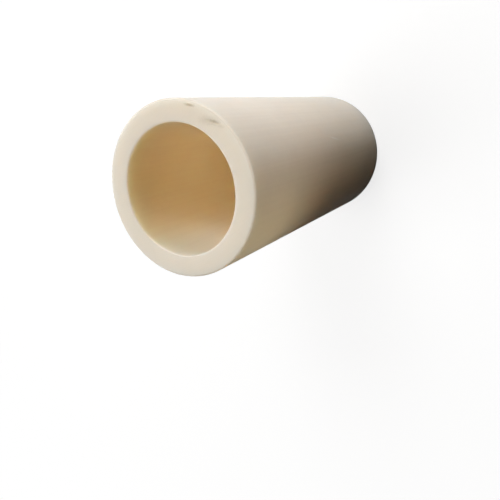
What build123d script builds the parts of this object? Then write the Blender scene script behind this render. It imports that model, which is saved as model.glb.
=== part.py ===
"""A plain tube of fired alumina, open at both ends, standing on its lower end.

Millimetres, +Z up along the tube's axis, origin at the middle of the lower end face.
"""

import os

from build123d import *

# The tube
OUTSIDE_DIAMETER = 60.0
BORE_DIAMETER = 45.0
TUBE_LENGTH = 130.0

# The small rounding on the rims, the same at both ends
OUTER_RIM_RADIUS = 0.6
BORE_RIM_RADIUS = 0.5

# The long chip in the upper end face. The inset is from the outside wall in to the chip's middle.
# The bearing is in degrees round the axis from +X, and the slant is how far the chip's line turns
# in towards the bore from the line of the rim.
LONG_CHIP_BEARING = -45.0
LONG_CHIP_INSET = 2.8
LONG_CHIP_LENGTH = 6.8
LONG_CHIP_WIDTH = 1.1
LONG_CHIP_DEPTH = 0.25
LONG_CHIP_SLANT = 20.0

# The short chip in the same face, close inside the rim's rounding
SHORT_CHIP_BEARING = -23.5
SHORT_CHIP_INSET = 1.5
SHORT_CHIP_LENGTH = 3.5
SHORT_CHIP_WIDTH = 0.8
SHORT_CHIP_DEPTH = 0.2
SHORT_CHIP_SLANT = 3.0


def scoop_radius(chord, depth):
    """The radius of a circle that dips to a depth below a line and crosses it a chord apart."""
    return (chord**2 / 4 + depth**2) / (2 * depth)


def chip(bearing, inset, length, width, depth, slant):
    """What one chip took out of the upper end face: a shallow scoop, longer than it is wide.

    It is the foot of an upright ring. The ring's size sets the chip's length, and the roundness
    of its section sets the width, so the scoop runs out to nothing all round.
    """
    section_radius = scoop_radius(width, depth)
    foot_radius = scoop_radius(length, depth)
    ring = Torus(foot_radius - section_radius, section_radius, rotation=(90, 0, 0))
    distance_out = OUTSIDE_DIAMETER / 2 - inset
    place = Rot(0, 0, bearing) * Pos(distance_out, 0, TUBE_LENGTH + foot_radius - depth)
    return place * Rot(0, 0, 90 + slant) * ring


def wall_section():
    """The wall as a cut along the axis shows it, on one side, with its four corners rounded."""
    wall = (OUTSIDE_DIAMETER - BORE_DIAMETER) / 2
    section = Pos(BORE_DIAMETER / 2, 0) * Rectangle(wall, TUBE_LENGTH, align=(Align.MIN, Align.MIN))
    outer_corners = section.vertices().sort_by(Axis.X)[-2:]
    section = fillet(outer_corners, OUTER_RIM_RADIUS)
    bore_corners = section.vertices().sort_by(Axis.X)[:2]
    return fillet(bore_corners, BORE_RIM_RADIUS)


def alumina_tube():
    """The whole tube: its wall section turned once round the axis, less the two chips."""
    tube = revolve(Plane.XZ * wall_section(), Axis.Z)
    tube -= chip(
        LONG_CHIP_BEARING,
        LONG_CHIP_INSET,
        LONG_CHIP_LENGTH,
        LONG_CHIP_WIDTH,
        LONG_CHIP_DEPTH,
        LONG_CHIP_SLANT,
    )
    tube -= chip(
        SHORT_CHIP_BEARING,
        SHORT_CHIP_INSET,
        SHORT_CHIP_LENGTH,
        SHORT_CHIP_WIDTH,
        SHORT_CHIP_DEPTH,
        SHORT_CHIP_SLANT,
    )
    return tube


os.makedirs("parts", exist_ok=True)
export_step(alumina_tube(), "parts/alumina_tube.step")
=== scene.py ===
"""The look of the alumina tube: its fired surface, a pale floor, soft lamps and the camera.

Lengths are in metres and angles in degrees. Colours are red, green and blue, from 0 to 1.
"""

import math

import bpy
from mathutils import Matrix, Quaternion, Vector


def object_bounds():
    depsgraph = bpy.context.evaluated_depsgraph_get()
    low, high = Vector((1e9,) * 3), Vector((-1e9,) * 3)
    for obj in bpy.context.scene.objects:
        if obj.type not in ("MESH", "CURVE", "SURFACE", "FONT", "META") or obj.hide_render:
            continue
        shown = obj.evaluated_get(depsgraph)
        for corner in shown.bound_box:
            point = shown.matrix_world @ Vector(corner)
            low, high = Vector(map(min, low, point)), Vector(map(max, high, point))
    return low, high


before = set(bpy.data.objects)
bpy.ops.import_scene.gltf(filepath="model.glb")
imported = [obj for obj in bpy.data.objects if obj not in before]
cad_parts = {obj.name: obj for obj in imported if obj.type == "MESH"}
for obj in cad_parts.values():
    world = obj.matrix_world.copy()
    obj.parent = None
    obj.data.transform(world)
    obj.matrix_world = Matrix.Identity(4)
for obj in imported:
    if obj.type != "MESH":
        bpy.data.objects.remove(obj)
CAD_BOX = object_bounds()
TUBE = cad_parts["alumina_tube"]

# The camera looks down past the upper end, and the roll lays the tube over so that it runs up to
# the right in the picture. The sensor and the focal length are in millimetres.
CAMERA_PLACE = Vector((0.00912, -0.10773, 0.26243))
CAMERA_AZIMUTH = 20.16
CAMERA_ELEVATION = 56.07
CAMERA_ROLL = 117.16
SENSOR_WIDTH = 36.0
FOCAL_LENGTH = 36.16
NEAREST_SEEN = 0.01
FURTHEST_SEEN = 20.0

# The lamps: name, place, the point each is aimed at, size, spread, power in watts and colour. The
# key and side lamps have a lower one beside each. The rear lamp lights the far side. The last four
# are weak and close, and throw light back on the shaded side, most of it warm.
WHITE = (1.0, 1.0, 1.0)
SOFT = (1.0, 0.94, 0.84)
WARM = (1.0, 0.88, 0.60)
AMBER = (1.0, 0.77, 0.36)
ORANGE = (1.0, 0.62, 0.12)
MIDDLE = (0.0, 0.0, 0.065)
LAMPS = [
    ("key", (0.63, 0.0, 0.97), MIDDLE, 0.60, 180.0, 0.80, WHITE),
    ("key_low", (0.76, 0.0, 0.86), MIDDLE, 0.50, 180.0, 3.62, WHITE),
    ("side", (1.10, 0.0, 0.16), MIDDLE, 0.40, 180.0, 0.70, WHITE),
    ("side_low", (1.10, 0.0, 0.10), MIDDLE, 0.20, 180.0, 4.95, WHITE),
    ("front", (0.99, -0.46, 0.16), MIDDLE, 0.40, 180.0, 1.84, WHITE),
    ("top", (-0.08, 0.33, 1.11), MIDDLE, 0.60, 180.0, 6.45, WHITE),
    ("rear", (-0.36, 1.04, 0.14), MIDDLE, 0.40, 180.0, 5.80, SOFT),
    ("bounce_left", (-0.07, -0.07, 0.125), (-0.02, -0.02, 0.118), 0.05, 60.0, 0.0031, WARM),
    ("bounce_under", (-0.064, -0.072, 0.085), (-0.018, -0.022, 0.083), 0.05, 80.0, 0.00042, ORANGE),
    ("bounce_front", (0.06, -0.10, 0.12), (0.02, -0.02, 0.11), 0.08, 90.0, 0.0043, WHITE),
    ("bounce_low", (0.045, -0.11, 0.05), (0.01, -0.03, 0.05), 0.08, 120.0, 0.0032, AMBER),
]

# How often light may be passed on, between matt surfaces and in all. This lights the deep bore.
DIFFUSE_BOUNCES = 12
ALL_BOUNCES = 16

# The floor throws only a little light back at the tube, but looks white. Near the tube a share of
# that white is a lit surface, which takes the shadow. The share fades out between two distances.
FLOOR_SIZE = 6.0
FLOOR_BOUNCE = (0.03, 0.03, 0.03)
FLOOR_LEVEL = 0.78
SHADOW_SHARE = 0.28
SHADOW_NEAR = 0.12
SHADOW_FAR = 0.40

# The tube's own sizes, as the material needs them
LENGTH = CAD_BOX[1][2]
OUTER_RADIUS = CAD_BOX[1][0]
BORE_RADIUS = 0.0225

# Where one look gives way to another, each as a start and an end. The first three are radii, the
# next three are depths from the nearer end, and the last is a height.
BORE_EDGE = (BORE_RADIUS, BORE_RADIUS + 0.0005)
BORE_RIM = (BORE_RADIUS + 0.0004, BORE_RADIUS + 0.0008)
OUTER_RIM = (OUTER_RADIUS - 0.0009, OUTER_RADIUS - 0.0004)
CUT_DEPTH = (0.0001, 0.0005)
RIM_DEPTH = (0.0004, 0.0010)
MOUTH_DEPTH = (0.008, 0.060)
UPPER_END = (LENGTH - 0.0008, LENGTH - 0.0004)

# The direction from the axis to the bore's side that the lamps light through the mouth, which is
# painted paler as painted light, and the cosines between which that sets in
PAINTED_LIGHT_SIDE = (-0.996, -0.087, 0.0)
PAINTED_LIGHT_EDGE = (0.44, 0.88)

# Colours: the fired skin outside and the cut end faces, then the bore, which is partly its own warm
# tone and partly a painted glow of light through the wall, its mouths with more painted warm glow,
# and its side painted paler as painted light, then the rims, dulled partly by handling and partly
# by painted shade that dims their highlights, the scratch, the chips, grey partly from their raw
# grain and partly from painted shade in their hollows, and the specks
SKIN = (0.883, 0.796, 0.688)
CUT = (0.833, 0.759, 0.646)
BORE = (0.996, 0.869, 0.685)
BORE_MOUTH_PAINTED_GLOW = (0.996, 0.833, 0.591)
BORE_PAINTED_LIGHT = (0.996, 0.917, 0.776)
WORN_AND_SHADED = (0.77, 0.66, 0.535)
SCRATCH = (0.97, 0.91, 0.83)
CHIP_GREY_AND_SHADE = (0.33, 0.28, 0.18)
SPECK = (0.46, 0.37, 0.27)

# Noise patterns: scale, detail and roughness. The streaks run along the tube, because their points
# are scaled by STREAK_STRETCH first. The arcs are parts of rings round SAW_CENTRE, beside the tube.
CLOUDS = (55.0, 3.0, 0.5)
LUMPS = (420.0, 3.0, 0.5)
GRAIN = (4200.0, 3.0, 0.6)
STREAKS = (1.0, 4.0, 0.6)
STREAK_STRETCH = (900.0, 900.0, 9.0)
ARCS = (2600.0, 4.0, 0.7)
SAW_CENTRE = (0.075, 0.030, 0.0)
PATCHES = (260.0, 4.0, 0.7)
RAGGED = (1500.0, 3.0, 0.7)
CRUMBS = (2600.0, 4.0, 0.75)

# The range that each pattern adds to the brightness, to the roughness and to the surface's height.
# The marks are streaks on the skin and arcs on the cut faces.
BRIGHTNESS = {
    "clouds": (0.965, 1.035),
    "lumps": (-0.015, 0.015),
    "grain": (-0.03, 0.03),
    "marks": (-0.045, 0.045),
}
ROUGHNESS = {
    "clouds": (0.50, 0.62),
    "grain": (-0.05, 0.05),
    "marks": (-0.05, 0.05),
}
RELIEF = {
    "grain": (0.0, 1.6e-5),
    "lumps": (0.0, 2.0e-5),
    "marks": (0.0, 0.8e-5),
    "crumbs": (0.0, 1.6e-4),
}

# The specks sit in some cells of a pattern: cells per metre, the distances from a cell's middle at
# which a speck starts to fade and is gone, as shares of a cell, the random draws between which a
# cell comes to have one, and its strength
SPECK_CELLS = 150.0
SPECK_SIZE = (0.010, 0.028)
SPECK_DRAWS = (0.5, 0.8)
SPECK_STRENGTH = 0.55

# The darkening of the rims, partly wear and partly painted shade that dims their highlights: the
# bore rim's share of it, its least and most from patch to patch, and the part of the noise's range
# that makes the patches
BORE_RIM_WEAR_AND_SHADE = 0.4
WEAR_AND_SHADE_RANGE = (0.4, 1.0)
WEAR_AND_SHADE_NOISE = (0.3, 0.7)

# Small marks: place, how the length is turned about X, Y and Z, size each way, and strength. The
# dark ones lie in and round the two chips of the upper end, and their grey is partly painted shade
# in the hollows. The pale one is a scratch on the skin.
CHIP_MARKS = [
    ((0.0260, -0.0116, 0.0), (0.0, 0.0, 71.0), (0.0044, 0.0011, 1.0), 0.42),
    ((0.0196, -0.0193, 0.0), (0.0, 0.0, 73.0), (0.0048, 0.0014, 1.0), 0.46),
    ((0.0201, -0.0178, 0.0), (0.0, 0.0, 74.0), (0.0086, 0.0032, 1.0), 0.20),
    ((0.0176, -0.0217, 0.0), (0.0, 0.0, 72.0), (0.0030, 0.0012, 1.0), 0.14),
]
SCRATCH_MARK = ((0.0077, -0.0289, 0.0562), (0.0, -78.0, 14.0), (0.012, 0.004, 0.0007), 0.95)

# A mark fades between these shares of its size, which the noise makes ragged by up to this much.
# Where the dark ones pass a small strength, the surface is rough and crumbly.
MARK_FADE = (0.2, 1.2)
MARK_RAGGED = (-0.7, 0.7)
CHIPPED = (0.08, 0.25)
CHIP_ROUGHNESS = 0.85

# What is the same all over: a soft sheen, and light that wanders a few millimetres into the wall
FINISH = {
    "IOR": 1.6,
    "Specular IOR Level": 0.02,
    "Subsurface Weight": 1.0,
    "Subsurface Radius": (1.0, 0.93, 0.86),
    "Subsurface Scale": 0.006,
}


class Shading:
    """A material's nodes, added one call at a time. A socket or a plain value may be given."""

    def __init__(self, name):
        self.material = bpy.data.materials.new(name)
        self.material.use_nodes = True
        self.tree = self.material.node_tree
        self.shader = self.tree.nodes["Principled BSDF"]
        self.output = self.tree.nodes["Material Output"]

    def node(self, kind, inputs=(), **settings):
        node = self.tree.nodes.new("ShaderNode" + kind)
        for name, value in settings.items():
            setattr(node, name, value)
        for key, value in dict(inputs).items():
            self.set(node.inputs[key], value)
        return node

    def set(self, socket, value):
        if isinstance(value, bpy.types.NodeSocket):
            self.tree.links.new(value, socket)
        elif socket.type == "RGBA":
            socket.default_value = (*value, 1.0)
        else:
            socket.default_value = value

    def math(self, operation, a, b):
        return self.node("Math", {0: a, 1: b}, operation=operation).outputs[0]

    def product(self, first, *others):
        for other in others:
            first = self.math("MULTIPLY", first, other)
        return first

    def vector(self, operation, a, b=(0.0, 0.0, 0.0)):
        return self.node("VectorMath", {0: a, 1: b}, operation=operation).outputs["Vector"]

    def measure(self, operation, a, b=(0.0, 0.0, 0.0)):
        """A number got from vectors, such as a length, a distance or a dot product."""
        return self.node("VectorMath", {0: a, 1: b}, operation=operation).outputs["Value"]

    def step(self, value, low, high):
        """0 at low and below, 1 at high and above, and smooth between."""
        inputs = {"Value": value, "From Min": low, "From Max": high}
        return self.node("MapRange", inputs, interpolation_type="SMOOTHSTEP").outputs["Result"]

    def fade(self, value, low, high):
        """1 at low and below, 0 at high and above, and smooth between."""
        return self.math("SUBTRACT", 1.0, self.step(value, low, high))

    def span(self, value, to_low, to_high, low=0.0, high=1.0):
        """The value carried from one range to another, and held inside it."""
        inputs = {
            "Value": value,
            "From Min": low,
            "From Max": high,
            "To Min": to_low,
            "To Max": to_high,
        }
        return self.node("MapRange", inputs).outputs["Result"]

    def total(self, patterns, ranges):
        """The sum of the named patterns, each carried to its own range."""
        parts = [self.span(patterns[name], *ends) for name, ends in ranges.items()]
        total = parts[0]
        for part in parts[1:]:
            total = self.math("ADD", total, part)
        return total

    def blend(self, share, first, second):
        """A number between two others, which are sockets 2 and 3 of the Mix node."""
        return self.node("Mix", {0: share, 2: first, 3: second}).outputs[0]

    def mix(self, share, first, second, way="MIX"):
        """A colour mixed from two others, which are sockets 6 and 7 of the Mix node."""
        inputs = {0: share, 6: first, 7: second}
        return self.node("Mix", inputs, data_type="RGBA", blend_type=way).outputs[2]

    def noise(self, point, scale, detail, rough):
        inputs = {"Vector": point, "Scale": scale, "Detail": detail, "Roughness": rough}
        return self.node("TexNoise", inputs).outputs["Fac"]


def make_camera():
    azimuth = math.radians(CAMERA_AZIMUTH)
    elevation = math.radians(CAMERA_ELEVATION)
    across = math.cos(elevation)
    back = Vector((math.sin(azimuth) * across, -math.cos(azimuth) * across, math.sin(elevation)))
    data = bpy.data.cameras.new("camera")
    data.sensor_width = SENSOR_WIDTH
    data.lens = FOCAL_LENGTH
    data.clip_start = NEAREST_SEEN
    data.clip_end = FURTHEST_SEEN
    camera = bpy.data.objects.new("camera", data)
    camera.rotation_mode = "QUATERNION"
    upright = (-back).to_track_quat("-Z", "Y")
    camera.rotation_quaternion = upright @ Quaternion((0, 0, 1), -math.radians(CAMERA_ROLL))
    camera.location = CAMERA_PLACE
    bpy.context.scene.collection.objects.link(camera)
    bpy.context.scene.camera = camera


def seen_directly(tree):
    """1 for the rays that show the background: straight to the camera, or by gloss or glass."""
    path = tree.nodes.new("ShaderNodeLightPath")
    total = path.outputs["Is Camera Ray"]
    for name in ("Is Glossy Ray", "Is Transmission Ray"):
        add = tree.nodes.new("ShaderNodeMath")
        add.operation = "ADD"
        add.use_clamp = True
        tree.links.new(total, add.inputs[0])
        tree.links.new(path.outputs[name], add.inputs[1])
        total = add.outputs[0]
    return total


def make_floor():
    bpy.ops.mesh.primitive_plane_add(size=FLOOR_SIZE)
    floor = bpy.context.object
    floor.name = "floor"
    paint = Shading("floor")
    point = paint.node("TexCoord").outputs["Object"]
    away = paint.measure("LENGTH", point)
    share = paint.span(away, SHADOW_SHARE, 0.0, SHADOW_NEAR, SHADOW_FAR)
    # The glow makes up what the lit share lacks to be white: (1 - share * level) / (1 - share)
    glow = paint.math("SUBTRACT", 1.0, paint.math("MULTIPLY", share, FLOOR_LEVEL))
    glow = paint.math("DIVIDE", glow, paint.math("SUBTRACT", 1.0, share))
    bounce = paint.node("BsdfDiffuse", {"Color": FLOOR_BOUNCE}).outputs[0]
    shadowed = paint.node("BsdfDiffuse", {"Color": WHITE}).outputs[0]
    white = paint.node("Emission", {"Color": WHITE, "Strength": glow}).outputs[0]
    looks = paint.node("MixShader", {0: share, 1: white, 2: shadowed}).outputs[0]
    mixed = paint.node("MixShader", {0: seen_directly(paint.tree), 1: bounce, 2: looks}).outputs[0]
    paint.set(paint.output.inputs["Surface"], mixed)
    floor.data.materials.append(paint.material)


def make_world():
    """White to look at, and dark for the tube, which only the lamps light."""
    world = bpy.data.worlds.new("world")
    world.use_nodes = True
    tree = world.node_tree
    dark = tree.nodes["Background"]
    dark.inputs["Color"].default_value = (0.0, 0.0, 0.0, 1.0)
    white = tree.nodes.new("ShaderNodeBackground")
    white.inputs["Color"].default_value = (*WHITE, 1.0)
    mixed = tree.nodes.new("ShaderNodeMixShader")
    tree.links.new(seen_directly(tree), mixed.inputs[0])
    tree.links.new(dark.outputs[0], mixed.inputs[1])
    tree.links.new(white.outputs[0], mixed.inputs[2])
    tree.links.new(mixed.outputs[0], tree.nodes["World Output"].inputs["Surface"])
    bpy.context.scene.world = world


def make_lamp(name, place, target, size, spread, power, colour):
    data = bpy.data.lights.new(name, "AREA")
    data.size = size
    data.spread = math.radians(spread)
    data.energy = power
    data.color = colour
    lamp = bpy.data.objects.new(name, data)
    lamp.location = place
    lamp.rotation_mode = "QUATERNION"
    lamp.rotation_quaternion = (Vector(target) - Vector(place)).to_track_quat("-Z", "Y")
    lamp.visible_camera = False
    bpy.context.scene.collection.objects.link(lamp)


def bore_colour_and_painted_light(paint, flat, from_end):
    """The bore's colour, with painted light: a warm glow near both mouths and a paler lit side."""
    colour = paint.mix(paint.step(from_end, *MOUTH_DEPTH), BORE_MOUTH_PAINTED_GLOW, BORE)
    facing = paint.measure("DOT_PRODUCT", paint.vector("NORMALIZE", flat), PAINTED_LIGHT_SIDE)
    return paint.mix(paint.step(facing, *PAINTED_LIGHT_EDGE), colour, BORE_PAINTED_LIGHT)


def dark_specks(paint, point):
    """A rare small dot, in the middle of some of the cells."""
    cells = paint.node("TexVoronoi", {"Vector": point, "Scale": SPECK_CELLS, "Randomness": 1.0})
    dot = paint.span(cells.outputs["Distance"], 1.0, 0.0, *SPECK_SIZE)
    draw = paint.node("SeparateColor", {0: cells.outputs["Color"]}).outputs[0]
    return paint.product(dot, paint.step(draw, *SPECK_DRAWS), SPECK_STRENGTH)


def worn_and_shaded_rims(paint, point, radius, from_end):
    """Patchy darkening of the rims, less on the bore's: partly wear, partly painted shade."""
    bore_rim = paint.product(paint.fade(radius, *BORE_RIM), BORE_RIM_WEAR_AND_SHADE)
    rims = paint.math("MAXIMUM", bore_rim, paint.step(radius, *OUTER_RIM))
    patches = paint.span(paint.noise(point, *PATCHES), *WEAR_AND_SHADE_RANGE, *WEAR_AND_SHADE_NOISE)
    return paint.product(patches, rims, paint.fade(from_end, *RIM_DEPTH))


def small_mark(paint, point, ragged, place, turn, size, strength):
    """Strongest in the middle of one small mark, and fading raggedly to nothing."""
    turned = tuple(math.radians(angle) for angle in turn)
    inputs = {"Vector": point, "Location": place, "Rotation": turned}
    local = paint.node("Mapping", inputs, vector_type="TEXTURE").outputs[0]
    # The mark is 2 across in these units, so its edge is 1 away from its middle
    sized = paint.vector("MULTIPLY", local, tuple(2 / across for across in size))
    away = paint.math("ADD", paint.measure("LENGTH", sized), ragged)
    return paint.span(away, strength, 0.0, *MARK_FADE)


def alumina():
    """Fired alumina: cream, a little translucent, with a fine grain and a soft sheen.

    The skin has faint streaks along the tube from its forming, the end faces have fine arcs from
    the saw, and the bore is warmer, partly in its own tone and partly by painted light. The chips
    show the raw grain, and their grey is partly painted shade in their hollows.
    """
    paint = Shading("fired_alumina")
    shader = paint.shader
    point = paint.node("TexCoord").outputs["Object"]
    height = paint.node("SeparateXYZ", {0: point}).outputs["Z"]
    flat = paint.vector("MULTIPLY", point, (1, 1, 0))
    radius = paint.measure("LENGTH", flat)
    from_end = paint.math("MINIMUM", height, paint.math("SUBTRACT", LENGTH, height))
    outside_bore = paint.step(radius, *BORE_EDGE)
    cut = paint.product(paint.fade(from_end, *CUT_DEPTH), outside_bore)

    streaks = paint.noise(paint.vector("MULTIPLY", point, STREAK_STRETCH), *STREAKS)
    from_saw = paint.measure("DISTANCE", flat, SAW_CENTRE)
    arcs = paint.noise(paint.node("CombineXYZ", {"X": from_saw}).outputs[0], *ARCS)
    patterns = {
        "clouds": paint.noise(point, *CLOUDS),
        "lumps": paint.noise(point, *LUMPS),
        "grain": paint.noise(point, *GRAIN),
        "marks": paint.blend(cut, streaks, arcs),
    }

    # The bore's colour holds painted light: a warm glow near the mouths and a paler lit side
    colour = paint.mix(outside_bore, bore_colour_and_painted_light(paint, flat, from_end), SKIN)
    colour = paint.mix(cut, colour, CUT)
    shade = paint.total(patterns, BRIGHTNESS)
    grey = paint.node("CombineColor", {0: shade, 1: shade, 2: shade}).outputs[0]
    colour = paint.mix(1.0, colour, grey, "MULTIPLY")
    colour = paint.mix(dark_specks(paint, point), colour, SPECK)
    # Darker rims, partly from wear and partly painted shade that dims their highlights
    colour = paint.mix(worn_and_shaded_rims(paint, point, radius, from_end), colour, WORN_AND_SHADED)

    ragged = paint.span(paint.noise(point, *RAGGED), *MARK_RAGGED)
    colour = paint.mix(small_mark(paint, point, ragged, *SCRATCH_MARK), colour, SCRATCH)
    chips = 0.0
    for mark in CHIP_MARKS:
        chips = paint.math("MAXIMUM", chips, small_mark(paint, flat, ragged, *mark))
    chips = paint.product(chips, paint.step(height, *UPPER_END))
    # The chips' grey is partly their raw grain and partly painted shade in their hollows
    colour = paint.mix(chips, colour, CHIP_GREY_AND_SHADE)
    paint.set(shader.inputs["Base Color"], colour)

    chipped = paint.step(chips, *CHIPPED)
    rough = paint.blend(chipped, paint.total(patterns, ROUGHNESS), CHIP_ROUGHNESS)
    paint.set(shader.inputs["Roughness"], rough)

    patterns["crumbs"] = paint.product(paint.noise(point, *CRUMBS), chipped)
    relief = paint.total(patterns, RELIEF)
    bump = paint.node("Bump", {"Strength": 1.0, "Distance": 1.0, "Height": relief}).outputs[0]
    paint.set(shader.inputs["Normal"], bump)

    for name, value in FINISH.items():
        shader.inputs[name].default_value = value
    return paint.material


make_camera()
make_floor()
make_world()
for lamp in LAMPS:
    make_lamp(*lamp)
TUBE.data.materials.clear()
TUBE.data.materials.append(alumina())
bpy.context.scene.view_settings.view_transform = "Standard"
bpy.context.scene.cycles.diffuse_bounces = DIFFUSE_BOUNCES
bpy.context.scene.cycles.max_bounces = ALL_BOUNCES
